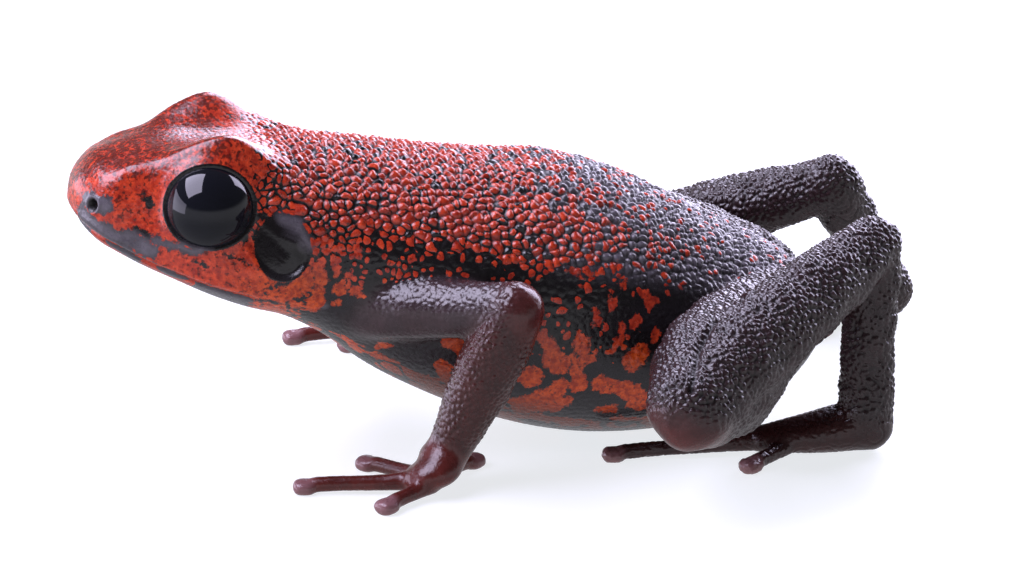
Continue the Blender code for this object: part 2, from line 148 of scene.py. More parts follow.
BELLY_SPOTS = [
    (0.15, (347, 338), (358, 350)), (0.18, (376, 336), (384, 343)),
    (0.24, (449, 342), (473, 355)), (0.28, (414, 376), (432, 382)),
    (0.34, (432, 392), (477, 396)), (0.24, (442, 366), (446, 379)),
    (0.20, (543, 338), (550, 350)), (0.31, (553, 358), (561, 366)),
    (0.30, (528, 379), (532, 376)), (0.20, (583, 341), (583, 349)),
    (0.17, (576, 361), (591, 357)), (0.19, (577, 366), (577, 386)),
    (0.27, (631, 364), (643, 352)), (0.28, (598, 384), (622, 388), (640, 398)),
    (0.32, (636, 404), (641, 398)), (0.24, (516, 402), (545, 395), (562, 386)),
    (0.32, (520, 409), (562, 402)), (0.16, (600, 410), (611, 409)),
    (0.22, (503, 414), (550, 418), (590, 422)), (0.14, (614, 418), (646, 419)),
]
FLANK_SPOTS = [
    (0.10, (597, 312), (597, 321)), (0.12, (612, 302), (612, 308)),
    (0.12, (622, 325), (620, 338), (614, 348)), (0.11, (636, 321), (636, 327)),
    (0.12, (654, 331), (656, 338)), (0.14, (645, 296), (650, 304)),
    (0.09, (572, 270), (577, 275)), (0.09, (548, 262), (551, 268)), (0.07, (566, 262)),
    (0.07, (583, 268)), (0.08, (579, 284)), (0.07, (590, 272)), (0.06, (558, 256)),
    (0.10, (592, 253)), (0.08, (598, 276)), (0.09, (618, 265)), (0.10, (623, 283)),
    (0.09, (665, 290)), (0.07, (682, 287)), (0.07, (612, 294)), (0.06, (640, 262)),
    (0.06, (660, 262)),
]

# The crease where the left shank lies against the thigh: half width, depth, the way that it
# faces and its pixels in the photograph.
CREASE_WIDTH = 0.17
CREASE_DEPTH = 0.13
CREASE_FACES = (0.80, -0.14, 0.58)
CREASE = [
    (691, 390), (694, 378), (695, 362), (697, 350), (702, 340), (707, 332), (717, 320),
    (728, 311), (742, 297),
]

# Bare, smooth places of the limbs, with their reach: elbow, knee, ankle and wrist.
SMOOTH_PLACES = [
    ((5.50, 1.45, 5.30), 1.1), ((9.10, 5.10, 2.80), 1.6), ((3.98, 11.80, 0.40), 1.1),
    ((4.90, -0.70, 0.70), 1.2),
]

# Joints of the limbs. The left arm and leg are the ones nearer the viewer.
ARMS = {
    "left": {
        "shoulder": (2.6, -2.6, 4.75),
        "elbow": (5.25, 1.05, 5.30),
        "wrist": (4.80, -0.72, 1.15),
        "palm": (5.15, -1.34, 0.50),
        "tips": [(3.20, 0.42), (2.85, -3.00), (4.50, -5.12), (6.60, -3.02)],
    },
    "right": {
        "shoulder": (-2.6, -2.6, 4.75),
        "elbow": (-6.75, 0.35, 4.70),
        "wrist": (-7.25, 0.30, 1.15),
        "palm": (-7.40, -0.45, 0.50),
        "tips": [(-6.05, 0.85), (-6.35, -2.15), (-7.40, -3.72), (-9.45, -2.35)],
    },
}
LEGS = {
    "left": {
        "hip": (1.70, 9.25, 3.35),
        "knee": (8.86, 5.38, 3.52),
        "heel": (4.00, 11.50, 6.12),
        "calf_rise": 0.20,
        "calf_size": 1.0,
        "ankle": (3.98, 11.42, 0.80),
        "sole": (3.82, 8.40, 0.45),
        "tips": [(2.55, 8.75), (2.35, 7.35), (2.85, 5.90), (3.60, 3.88), (5.30, 7.60)],
    },
    "right": {
        "hip": (-1.70, 9.25, 3.35),
        "knee": (-9.25, 6.25, 1.72),
        "heel": (-4.90, 12.35, 4.95),
        "calf_rise": 0.02,
        "calf_size": 0.88,
        "ankle": (-6.65, 14.50, 0.80),
        "sole": (-6.35, 11.50, 0.45),
        "tips": [(-5.10, 12.10), (-4.95, 10.30), (-5.40, 8.80), (-6.10, 7.30), (-7.95, 10.70)],
    },
}

# Half widths of each limb part, from its upper end to its lower end, evenly spaced.
UPPER_ARM = (1.00, 0.92, 0.84, 0.80, 0.84)
FOREARM = (0.86, 0.92, 0.88, 0.76, 0.64)
THIGH = (1.40, 1.56, 1.74, 1.76, 1.25)
SHANK = (1.12, 1.22, 1.20, 1.06, 0.86)
TARSUS = (0.84, 0.80, 0.76, 0.76, 0.80)
DIGIT = (0.34, 0.25, 0.22, 0.23)

# How far the middle of the thigh rises, and the discs at the digits' ends.
THIGH_RISE = 0.24
DISC_WIDTH = 0.35
DISC_LENGTH = 0.62
DISC_DEPTH = 0.23

# Places where one form flows into the next: place, reach and how strong the smoothing is.
SOFT_PLACES = [
    ((2.5, -2.4, 4.75), 1.9, 1.0), ((1.9, 8.6, 3.4), 2.4, 1.0), ((3.3, -3.6, 5.6), 1.6, 0.8),
    ((5.25, 1.05, 5.3), 0.9, 0.35), ((8.86, 5.38, 3.5), 1.2, 0.4), ((4.0, 11.5, 6.1), 0.9, 0.35),
    ((3.85, 11.3, 0.8), 0.9, 0.35), ((4.8, -0.7, 1.15), 1.2, 0.8),
]

# Rounds of averaging that even out the skin, its soft places and the borders of its parts.
EVEN_ROUNDS = 10
SOFT_ROUNDS = 34
BORDER_ROUNDS = 8

# Where one kind of skin passes into the next: millimetres along Y, or degrees round the body
# from the middle of the back. Behind the head, the flank starts some degrees further down.
GRANULES_START = (-6.8, -5.3)
RED_HEAD_ENDS = (-6.7, -5.4)
JAW_ENDS = (-6.4, -5.4)
BELLY_STARTS = (-5.0, -3.6)
NECK_ENDS = (-4.6, -2.4)
REAR_STARTS = (2.0, 6.0)
NECK_DEGREES = 14
CROWN = (44, 58)
FLANK_RELIEF = (48, 68)
FLANK_COLOUR = (52, 66)
FLANK_ORANGE = (80, 94)
BELLY_RELIEF = (84, 100)
BELLY_COLOUR = (88, 95)
# Under the belly the orange turns a darker, duller brown: painted shade on a duller pigment.
SHADED_UNDERSIDE = (106, 128)
BELLY_MOSAIC = (120, 130)

CAMERA_TARGET = (0.0, 1.9, 4.06)

# The softboxes over the head, behind the back and low ahead of the snout: the way from the frog
# to each, and the way of its longer side.
SOFTBOXES = {
    "key": ((-0.12, -0.56, 0.82), (0.93, -0.35, -0.10)),
    "rim": ((-0.70, 0.60, 0.40), (0.65, 0.76, 0.0)),
    "edge": ((-0.35, -0.93, 0.10), (0.93, -0.35, 0.0)),
}
# In metres: from the frog to a softbox, and half the width of the floor.
SOFTBOX_AWAY = 0.32
FLOOR_HALF = 1.5

# A distance beyond all others, in millimetres.
FAR = 1e9
# Plane waves in one field of soft noise.
WAVES = 14

SKIN_FIELDS = ("red", "tone", "crevice", "pepper", "orange", "slate", "maroon", "pads")
PARTS = ("body", "upper_arm", "forearm", "hand", "thigh", "shank", "tarsus", "foot")


def unit(vector):
    vector = np.asarray(vector, float)
    return vector / np.linalg.norm(vector)


def mirrored(place, side):
    """A place or way given for the left, for either side: 1 is the left and -1 the right."""
    return np.array(place) * (side, 1, 1)


def away_from(points, place, side):
    return np.linalg.norm(points - mirrored(place, side), axis=1)


def smooth_between(places, values, at):
    """Values at new places, on a smooth curve through the given ones."""
    places = np.asarray(places, float)
    values = np.asarray(values, float)
    slopes = np.gradient(values, places, axis=0)
    at = np.clip(np.asarray(at, float), places[0], places[-1])
    index = np.clip(np.searchsorted(places, at) - 1, 0, len(places) - 2)
    width = (places[index + 1] - places[index])[:, None]
    t = (at - places[index])[:, None] / width
    return (
        values[index] * (2 * t**3 - 3 * t**2 + 1)
        + slopes[index] * width * (t**3 - 2 * t**2 + t)
        + values[index + 1] * (3 * t**2 - 2 * t**3)
        + slopes[index + 1] * width * (t**3 - t**2)
    )


def step(low, high, value):
    """A smooth step from 0 at low to 1 at high."""
    t = np.clip((value - low) / (high - low), 0.0, 1.0)
    return t * t * (3 - 2 * t)


def bell(value, middle, reach):
    return np.exp(-(((value - middle) / reach) ** 2))


def body_ring(y, sides):
    """One section of head and body at y, rounded off near the snout and the vent."""
    table = np.array(BODY_SECTIONS)
    top, bottom, wide, middle, above, below = smooth_between(table[:, 0], table[:, 1:], [y])[0]
    from_snout = np.clip((y - table[0, 0]) / SNOUT_ROUND, 0.0, 1.0)
    from_vent = np.clip((table[-1, 0] - y) / VENT_ROUND, 0.0, 1.0)
    full = math.sqrt(1 - (1 - from_snout) ** 2) * math.sqrt(1 - (1 - from_vent) ** 2)
    turn = np.linspace(0, 2 * math.pi, sides, endpoint=False) + math.pi / sides
    cosine, sine = np.cos(turn), np.sin(turn)
    power = np.where(sine > 0, 2 / above, 2 / below)
    x = wide * full * np.sign(cosine) * np.abs(cosine) ** power
    height = np.where(sine > 0, top - middle, middle - bottom) * full
    z = middle + height * np.sign(sine) * np.abs(sine) ** power
    return np.column_stack([x, np.full(sides, y), z])


def shape_head(points):
    """Pushes the brows, the canthus, the lores and the cheeks out or in."""
    for place, reach, height, way in HEAD_FORMS.values():
        sides = (1,) if place[0] == 0 else (1, -1)
        for side in sides:
            push = unit(mirrored(way, side)) * height
            away = (points - mirrored(place, side)) / reach
            points = points + np.exp(-(away**2).sum(axis=1))[:, None] * push
    return points


def limb_rings(points, widths, sides, rings, depths=None, cap=5):
    """Rings round a smooth line through points. Both ends are rounded like half a ball."""
    points = np.asarray(points, float)
    steps = np.concatenate([[0], np.cumsum(np.linalg.norm(np.diff(points, axis=0), axis=1))])
    steps /= steps[-1]
    widths = np.asarray(widths, float)
    depths = widths if depths is None else np.asarray(depths, float)
    at = np.linspace(0, 1, rings)
    line = smooth_between(steps, points, at)
    size = smooth_between(np.linspace(0, 1, len(widths)), np.column_stack([widths, depths]), at)
    along = np.gradient(line, axis=0)
    along /= np.linalg.norm(along, axis=1)[:, None]
    turn = np.linspace(0, 2 * math.pi, sides, endpoint=False)
    bend = np.linspace(0, math.pi / 2, cap + 1)

    def ring(centre, way, half):
        up = np.array((0.0, 0.0, 1.0)) if abs(way[2]) < 0.9 else np.array((0.0, -1.0, 0.0))
        side = unit(np.cross(way, up))
        up = np.cross(side, way)
        return centre + np.outer(np.cos(turn) * half[0], side) + np.outer(np.sin(turn) * half[1], up)

    def round_end(k, way, angles):
        made = []
        for angle in angles:
            reach = math.cos(angle) * size[k].min() * way
            made.append(ring(line[k] + along[k] * reach, along[k], size[k] * math.sin(angle)))
        return made

    middle = [ring(*place) for place in zip(line, along, size)]
    return round_end(0, -1, bend[1:-1]) + middle + round_end(-1, 1, bend[-2:0:-1])


def ball_rings(centre, size, sides=48, rings=24):
    """Rings of a ball stretched to three half sizes."""
    turn = np.linspace(0, 2 * math.pi, sides, endpoint=False)
    made = []
    for angle in np.linspace(0, math.pi, rings + 2)[1:-1]:
        flat = np.column_stack([np.cos(turn), np.sin(turn)]) * math.sin(angle)
        made.append(np.column_stack([flat, np.full(sides, math.cos(angle))]) * size + centre)
    return made


def digit_rings(roots, tips):
    """Each digit and the flat disc at its end, which lies on the floor."""
    made = []
    for root, tip in zip(roots, tips):
        root = np.array(root, float)
        tip = np.array((*tip, DISC_DEPTH - 0.05))
        way = unit((tip - root) * (1, 1, 0))
        heel = tip - way * DISC_LENGTH + (0, 0, 0.07)
        last = heel - way * 0.31 + (0, 0, 0.02)
        line = [root, (root + last) / 2 - (0, 0, 0.03), last, heel]
        made.append(limb_rings(line, DIGIT, 20, 16))
        middle = tip - way * DISC_LENGTH / 2
        ends = [middle - way * 0.12, middle + way * 0.12]
        made.append(limb_rings(ends, (DISC_WIDTH, DISC_WIDTH), 24, 3, (DISC_DEPTH,) * 2))
    return made


def arm_rings(side):
    """The arm's forms, each with the name of its part."""
    places = ARMS[side]
    shoulder, elbow = places["shoulder"], places["elbow"]
    wrist, palm = places["wrist"], np.array(places["palm"])
    ahead = unit(np.array((*np.mean(places["tips"][1:], axis=0), 0.0)) - palm * (1, 1, 0))
    front = palm + ahead * 0.35
    hand_line = [wrist, palm * (1, 1, 0) + (0, 0, 0.62), front * (1, 1, 0) + (0, 0, 0.42)]
    root = palm * (1, 1, 0) + (0, 0, 0.40)
    across = np.array((-ahead[1], ahead[0], 0)) * (1 if side == "left" else -1)
    roots = [root - across * offset for offset in (0.42, 0.22, 0.0, -0.28)]
    forms = [
        ("upper_arm", limb_rings([shoulder, elbow], UPPER_ARM, 40, 24)),
        ("forearm", limb_rings([elbow, wrist], FOREARM, 40, 24)),
        ("hand", limb_rings(hand_line, (0.64, 0.82, 0.65), 32, 18, (0.62, 0.56, 0.40))),
    ]
    return forms + [("hand", rings) for rings in digit_rings(roots, places["tips"])]


def leg_rings(side):
    """The leg's forms, each with the name of its part."""
    places = LEGS[side]
    hip, knee, heel = places["hip"], places["knee"], places["heel"]
    ankle, sole = np.array(places["ankle"]), np.array(places["sole"])
    rump = np.add(hip, knee) / 2 + (0, 0, THIGH_RISE)
    calf = np.array(knee) * 0.62 + np.array(heel) * 0.38 + (0, 0, places["calf_rise"])
    middle = (ankle + sole) / 2 * (1, 1, 0) + (0, 0, 0.58)
    roots = [sole + (ankle - sole) * share * (1, 1, 0) for share in (0.50, 0.30, 0.10, 0.0, 0.42)]
    foot_line = [ankle, middle, sole]
    forms = [
        ("thigh", limb_rings([hip, rump, knee], THIGH, 44, 30)),
        ("shank", limb_rings([knee, calf, heel], np.array(SHANK) * places["calf_size"], 44, 30)),
        ("tarsus", limb_rings([heel, ankle], TARSUS, 36, 24)),
        ("foot", limb_rings(foot_line, (0.78, 0.72, 0.50), 32, 20, (0.78, 0.58, 0.36))),
    ]
    return forms + [("foot", rings) for rings in digit_rings(roots, places["tips"])]


def frog_forms():
    """Every form of the frog's flesh: the name of its part and its rings."""
    ys = np.linspace(BODY_SECTIONS[0][0] + 0.01, BODY_SECTIONS[-1][0] - 0.01, 150)
    body = [shape_head(body_ring(y, 88)) for y in ys]
    forms = [("body", body)]
    for side in (1, -1):
        forms.append(("body", ball_rings(mirrored(LIDS_CENTRE, side), LIDS_SIZE)))
    for side in ("left", "right"):
        forms += arm_rings(side) + leg_rings(side)
    return forms


def joined_rings(forms):
    """Points, faces and part number of each point, for closed forms made of rings."""
    points, faces, parts = [], [], []
    start = 0
    for name, rings in forms:
        sides = len(rings[0])
        last = start + (len(rings) - 1) * sides
        made = np.vstack(rings + [rings[0].mean(axis=0), rings[-1].mean(axis=0)])
        low_end, high_end = start + len(made) - 2, start + len(made) - 1
        pairs = [(i, (i + 1) % sides) for i in range(sides)]
        for low in range(start, last, sides):
            faces += [(low + i, low + j, low + sides + j, low + sides + i) for i, j in pairs]
        for i, j in pairs:
            faces += [(start + j, start + i, low_end), (last + i, last + j, high_end)]
        points.append(made)
        parts += [PARTS.index(name)] * len(made)
        start += len(made)
    return np.vstack(points), faces, np.array(parts)


def new_object(name, points, faces):
    mesh = bpy.data.meshes.new(name)
    mesh.from_pydata(np.asarray(points).tolist(), [], faces)
    mesh.update()
    made = bpy.data.objects.new(name, mesh)
    bpy.context.scene.collection.objects.link(made)
    return made


def apply_modifier(thing, kind, **settings):
    """Adds one modifier, and gives the object the mesh that it makes."""
    made = thing.modifiers.new(kind.lower(), kind)
    for name, value in settings.items():
        setattr(made, name, value)
    bpy.context.view_layer.update()
    graph = bpy.context.evaluated_depsgraph_get()
    mesh = bpy.data.meshes.new_from_object(thing.evaluated_get(graph))
    thing.modifiers.clear()
    old = thing.data
    thing.data = mesh
    bpy.data.meshes.remove(old)


def read(data, name, width, kind=np.float32):
    """One property of a mesh's points or edges, with a row for each."""
    values = np.empty(len(data) * width, kind)
    data.foreach_get(name, values)
    return values.reshape(-1, width)


def read_points(mesh):
    return read(mesh.vertices, "co", 3).astype(float)


def read_normals(mesh):
    return read(mesh.vertex_normals, "vector", 3).astype(float)


def read_edges(mesh):
    return read(mesh.edges, "vertices", 2, int)


def read_field(mesh, name):
    return read(mesh.attributes[name].data, "value", 1).ravel().astype(float)


def write_points(mesh, points):
    mesh.vertices.foreach_set("co", np.asarray(points, float).ravel())
    mesh.update()


def write_field(mesh, name, values):
    """Keeps one number per point as a named attribute, which the materials read."""
    made = mesh.attributes.new(name, "FLOAT", "POINT")
    made.data.foreach_set("value", np.asarray(values, np.float32))


def averager(edges, count):
    """A function that gives each point the mean of its neighbours' values."""
    a, b = edges.T
    degree = np.bincount(edges.ravel(), minlength=count)

    def average(values):
        flat = values.reshape(count, -1)
        made = [
            np.bincount(a, column[b], count) + np.bincount(b, column[a], count) for column in flat.T
        ]
        return (np.array(made) / degree).T.reshape(values.shape)

    return average


def smooth_skin(mesh):
    """Evens out the voxel steps, and lets limbs flow into the body at the soft places."""
    points = read_points(mesh)
    average = averager(read_edges(mesh), len(points))
    soft = np.zeros(len(points))
    for place, reach, share in SOFT_PLACES:
        for side in (1, -1):
            away = away_from(points, place, side)
            soft = np.maximum(soft, share * (1 - step(reach * 0.5, reach, away)))
    for _ in range(EVEN_ROUNDS):
        points = points + 0.5 * (average(points) - points)
        points = points - 0.47 * (average(points) - points)
    for _ in range(SOFT_ROUNDS):
        points = points + (0.6 * soft)[:, None] * (average(points) - points)
    write_points(mesh, points)


def tree_of(points, numbers):
    """A tree that finds the nearest of some numbered points."""
    tree = kdtree.KDTree(len(points))
    for point, number in zip(points, numbers):
        tree.insert(point, number)
    tree.balance()
    return tree


def nearest_parts(points, marks, parts):
    """The part number of the nearest of the marked points, for each point."""
    tree = tree_of(marks, range(len(marks)))
    return np.array([parts[tree.find(point)[1]] for point in points.tolist()])


def eye_axes(side):
    facing = unit(mirrored(EYE_FACES, side))
    across = unit(np.cross((0.0, 0.0, 1.0), facing))
    return facing, across, np.cross(facing, across)


def lid_spread(points, side):
    """How far a point lies from the middle of the eye's opening: 1 is the edge of the lids."""
    facing, across, up = eye_axes(side)
    away = points - mirrored(EYE_CENTRE, side)
    reach = np.linalg.norm(away, axis=1)
    way = away / reach[:, None]
    angle = np.arccos(np.clip(way @ facing, -1, 1))
    wide, high = way @ across, way @ up
    around = np.hypot(wide, high) + 1e-9
    half_wide, half_high = (math.asin(half / EYE_RADIUS) for half in EYE_OPENING)
    edge = 1 / np.hypot(wide / around / half_wide, high / around / half_high)
    return angle / edge, reach, way


def open_lids(points, settings):
    """Lays the lids round each eye and sinks the skin behind it."""
    for side in (1, -1):
        spread, reach, way = lid_spread(points, side)
        inside = EYE_RADIUS - 0.30
        rim = EYE_RADIUS + settings.lid_thickness * METRE
        wanted = inside + (rim - inside) * step(0.93, 1.02, spread)
        free = step(1.0, 1.32, spread)
        bulge = 0.04 * bell(spread, 1.10, 0.07)
        target = wanted + np.where(spread > 1.0, (reach - rim) * free + bulge, 0)
        made = mirrored(EYE_CENTRE, side) + way * target[:, None]
        points = np.where(((reach < 2.6) & (spread < 1.34))[:, None], made, points)
    return points


def from_piece(points, a, b):
    """The way from a straight piece's nearest place to each point, and that place, 0 to 1."""
    along = b - a
    t = np.clip((points - a) @ along / max(along @ along, 1e-9), 0, 1)
    return points - a - t[:, None] * along, t


def line_distance(flat, line):
    """Distance from 2-D points to a line of straight pieces, and the place along it, 0 to 1."""
    line = np.asarray(line, float)
    best = np.full(len(flat), FAR)
    place = np.zeros(len(flat))
    above = np.zeros(len(flat))
    for k, (a, b) in enumerate(zip(line, line[1:])):
        away, t = from_piece(flat, a, b)
        distance = np.linalg.norm(away, axis=1)
        nearer = distance < best
        best = np.where(nearer, distance, best)
        place = np.where(nearer, (k + t) / (len(line) - 1), place)
        above = np.where(nearer, np.sign(away[:, 1]), above)
    return best, place, above


def turn_round_body(points):
    """Degrees from the middle of the back round to the belly, for points of the body."""
    table = np.array(BODY_SECTIONS)
    middle = np.interp(points[:, 1], table[:, 0], table[:, 4])
    return np.degrees(np.arctan2(np.abs(points[:, 0]), points[:, 2] - middle))


def stroke_depth(points, line, radius):
    """How far inside a stroke round a line of points each point lies; negative is outside."""
    line = np.atleast_2d(line)
    depth = np.full(len(points), -1.0)
    low, high = line.min(axis=0) - radius - 0.4, line.max(axis=0) + radius + 0.4
    near = np.where(((points > low) & (points < high)).all(axis=1))[0]
    best = np.full(len(near), FAR)
    for a, b in zip(line, line[1:] if len(line) > 1 else line):
        best = np.minimum(best, np.linalg.norm(from_piece(points[near], a, b)[0], axis=1))
    depth[near] = radius - best
    return depth


def carve_face(points, normals, body):
    """Cuts the mouth, the nostrils and the ears into the skin."""
    distance, place, above = line_distance(points[:, 1:], MOUTH_LINE)
    fade = 1 - step(0.90, 1.0, place)
    on_head = (points[:, 1] < -4.6) & (body > 0.5)
    groove = -0.12 * bell(distance, 0, 0.055) * fade
    lip = 0.05 * bell(distance, 0.20, 0.12) * (above > 0) * fade
    push = np.where(on_head, groove + lip, 0.0)
    for side in (1, -1):
        away = away_from(points, NOSTRIL, side)
        push += -0.28 * bell(away, 0, 0.12) + 0.04 * bell(away, 0.23, 0.07)
        same_side = (points[:, 0] * side > 1.5) & (body > 0.5)
        ear, fold = ear_spread(points, side)
        dish = -0.12 * (1 - step(0.84, 1.04, ear)) + 0.03 * bell(ear, 1.12, 0.12)
        push += np.where(same_side, dish * (1 - 0.8 * fold), 0.0)
    return points + normals * push[:, None]


def ear_spread(points, side):
    """How far a point lies from the middle of the eardrum, and under the fold above its rear."""
    across = (points - mirrored(EAR_CENTRE, side))[:, 1:] / EAR_SIZE
    spread = np.hypot(across[:, 0], across[:, 1])
    return spread, step(0.05, 0.5, across @ unit((0.72, 0.70)))


def spread_seeds(points, spacing, rng):
    """Points of the skin no closer to each other than the spacing there."""
    picks = rng.choice(len(points), len(points) // 3, replace=False).tolist()
    tree = tree_of(points[picks], picks)
    free = np.ones(len(points), bool)
    chosen = []
    for i in picks:
        if free[i]:
            chosen.append(i)
            for _, j, _ in tree.find_range(points[i], spacing[i]):
                free[j] = False
    return np.array(chosen)


def skin_cells(points, seeds, weights):
    """The seed that owns each point, and the place in its cell: 0 is the middle, 1 the edge."""
    tree = tree_of(points[seeds], range(len(seeds)))
    near = 4
    owner = np.empty((len(points), near), int)
    away = np.empty((len(points), near))
    for i, point in enumerate(points.tolist()):
        hits = tree.find_n(point, near)
        owner[i] = [hit[1] for hit in hits]
        away[i] = [hit[2] for hit in hits]
    middle = away.copy()
    away = away - weights[owner]
    order = np.argsort(away, axis=1)
    first, second = order[:, 0], order[:, 1]
    rows = np.arange(len(points))
    edge = (away[rows, second] - away[rows, first]) / 2
    from_middle = middle[rows, first]
    return owner[rows, first], from_middle / (from_middle + edge + 1e-9)


def soft_noise(points, size, rng):
    """A smooth random field between about 0 and 1 whose waves are size millimetres long."""
    total = np.zeros(len(points))
    for _ in range(WAVES):
        way = unit(rng.normal(size=3)) * rng.uniform(0.7, 1.5) * 2 * math.pi / size
        total += np.sin(points @ way + rng.uniform(0, 2 * math.pi))
    return 0.5 + total / WAVES * 1.2


def camera_ways(stage):
    """The camera's own ways to the right, up and back towards the viewer."""
    a, e = stage.azimuth, stage.elevation
    back = np.array((math.sin(a) * math.cos(e), -math.cos(a) * math.cos(e), math.sin(e)))
    right = np.array((math.cos(a), math.sin(a), 0.0))
    return right, np.cross(back, right), back


class Picture:
    """Where the photograph shows each of some points of the skin."""

    def __init__(self, points, stage):
        right, up, back = camera_ways(stage)
        away = points - (np.array(CAMERA_TARGET) + back * stage.distance / MM)
        self.points = points
        self.depth = -(away @ back)
        scale = PICTURE[0] * stage.lens / SENSOR_WIDTH / self.depth
        self.across = PICTURE[0] / 2 + scale * (away @ right)
        self.down = PICTURE[1] / 2 - scale * (away @ up)

    def places(self, pixels, reach=2.0, layer=0.25):
        """The places on the skin that the photograph shows at these pixels."""
        found = []
        for across, down in pixels:
            near = np.hypot(self.across - across, self.down - down) < reach
            if not near.any():
                raise ValueError(f"no skin at pixel {across}, {down}")
            front = near & (self.depth < self.depth[near].min() + layer)
            found.append(self.points[front].mean(axis=0))
        return np.array(found)


class Skin:
    """The skin's points with all that the maker's steps share about them."""

    def __init__(self, mesh, rng, stage):
        self.points = read_points(mesh)
        self.share = {name: read_field(mesh, name) for name in PARTS}
        self.body = self.share["body"]
        self.limb = 1 - self.body
        self.leg = self.share["thigh"] + self.share["shank"] + self.share["tarsus"]
        self.arm = self.share["upper_arm"] + self.share["forearm"]
        self.end = self.share["hand"] + self.share["foot"]
        self.y = self.points[:, 1]
        self.turn = turn_round_body(self.points)
        self.lids = np.minimum(self.lids_of(1), self.lids_of(-1))
        self.ear = np.minimum(self.ear_of(1), self.ear_of(-1))
        crown = 1 - step(*CROWN, self.turn)
        self.behind_head = step(*GRANULES_START, self.y - 0.9 * crown)
        self.neck = NECK_DEGREES * (1 - step(*NECK_ENDS, self.y))
        self.up = read_normals(mesh)[:, 2]
        self.waves = soft_noise(self.points, 1.6, rng)
        self.bent = self.points + bend_of(self.points, 0.5, 0.06, rng)
        self.ragged = self.points + bend_of(self.points, 0.8, 0.09, rng)
        self.body_picture = Picture(self.points[self.body > 0.5], stage)
        self.leg_picture = Picture(self.points[self.leg > 0.5], stage)

    def lids_of(self, side):
        spread, reach, _ = lid_spread(self.points, side)
        return spread + 8 * step(1.55, 2.1, reach)

    def ear_of(self, side):
        spread, _ = ear_spread(self.points, side)
        return np.where((self.points[:, 0] * side > 1.5) & (self.body > 0.5), spread, 9.0)

    def marks(self, strokes):
        """The deepest that each point lies in any of the strokes, which are made on both sides."""
        depth = np.full(len(self.points), -1.0)
        for radius, *pixels in strokes:
            line = self.body_picture.places(pixels)
            for side in (1, -1):
                depth = np.maximum(depth, stroke_depth(self.ragged, mirrored(line, side), radius))
        return depth

    def near_places(self, places, inner, sides=(1, -1)):
        """1 within the inner share of each place's reach, and 0 beyond the reach."""
        near = np.zeros(len(self.points))
        for place, reach in places:
            for side in sides:
                away = away_from(self.points, place, side)
                near = np.maximum(near, 1 - step(reach * inner, reach, away))
        return near


def bend_of(points, size, amount, rng):
    """Small smooth shifts in every direction, which make regular outlines irregular."""
    return np.column_stack([soft_noise(points, size, rng) - 0.5 for _ in range(3)]) * amount * 2


def granulate(skin, settings, rng):
    """Raises the granules, and returns each point's cell, its place there, where crease shade is painted,
    and its height.
    """
    spacing = settings.granule_spacing * METRE
    share, turn, y = skin.share, skin.turn, skin.y
    head = (1 - skin.behind_head) * skin.body
    # Granules are smaller on head and limbs, and towards flank and rear.
    small = 1 - 0.26 * skin.leg - 0.30 * skin.arm - 0.40 * skin.end - 0.40 * head
    small *= 1 - 0.20 * step(58, 85, turn) * skin.body
    rear = step(*REAR_STARTS, y)
    small *= 1 - 0.14 * rear * skin.body
    seeds = spread_seeds(skin.points, spacing * small, rng)
    weights = rng.uniform(-0.05, 0.05, len(seeds)) * small[seeds]
    cell, place = skin_cells(skin.bent, seeds, weights)
    # Each is a dome, which its cell's edge cuts off where a neighbour stands close.
    round_place = np.linalg.norm(skin.bent - skin.bent[seeds][cell], axis=1) / (0.74 * spacing * small)
    pebble = np.clip(1.04 - (0.55 * place**2 + 0.45 * np.minimum(round_place, 1.3) ** 2), 0, 1)

    # How far they rise on back, flank, belly and head, and then on legs and arms.
    flank = step(*FLANK_RELIEF, turn - skin.neck)
    rise = skin.body * skin.behind_head * (1 - 0.1 * rear) * (1 - 0.86 * flank)
    rise *= 1 - 0.75 * step(*BELLY_RELIEF, turn) * skin.body
    rise += 0.05 * skin.body * skin.behind_head * step(92, 112, turn)
    rise += 0.06 * head
    up = skin.up
    rise += (0.30 + 0.36 * step(-0.5, 0.4, up)) * skin.leg + 0.12 * share["foot"]
    rise += (0.06 + 0.18 * step(-0.2, 0.6, up)) * share["upper_arm"]
    rise += 0.34 * share["forearm"] + 0.04 * share["hand"]
    rise *= 1 - 0.9 * skin.near_places(SMOOTH_PLACES, 0.6)
    rise *= step(1.12, 1.4, skin.lids) * step(1.1, 1.4, skin.ear)
    rise *= rng.uniform(0.6, 1.25, len(seeds))[cell]
    lift = rise * settings.granule_height * METRE * (pebble - 0.45)

    # Soft lumps on the limbs, folds on the tarsus, and the crease of the leg.
    lumps = soft_noise(skin.points, 1.3, rng) - 0.5
    folds = 1 - np.abs(2 * soft_noise(skin.bent, 0.9, rng) - 1)
    lift += 0.10 * (skin.leg + 0.6 * skin.arm) * lumps
    lift -= 0.05 * (share["tarsus"] + 0.4 * share["foot"]) * step(0.90, 1.0, folds)
    faces = unit(CREASE_FACES)
    line = skin.leg_picture.places(CREASE)
    flat, line = (at - 0.7 * np.outer(at @ faces, faces) for at in (skin.points, line))
    crease = stroke_depth(flat, line, CREASE_WIDTH) * skin.leg
    lift -= CREASE_DEPTH * step(0.0, CREASE_WIDTH, crease)
    # Painted shade: the creases between raised granules and the crease of the leg are darkened in the
    # material, which also makes them rougher.
    crevice = (1 - pebble) * np.clip(1.3 * rise, 0, 1)
    crevice = np.maximum(crevice, 1.2 * step(0.3 * CREASE_WIDTH, CREASE_WIDTH, crease))
    return cell, place, crevice, lift


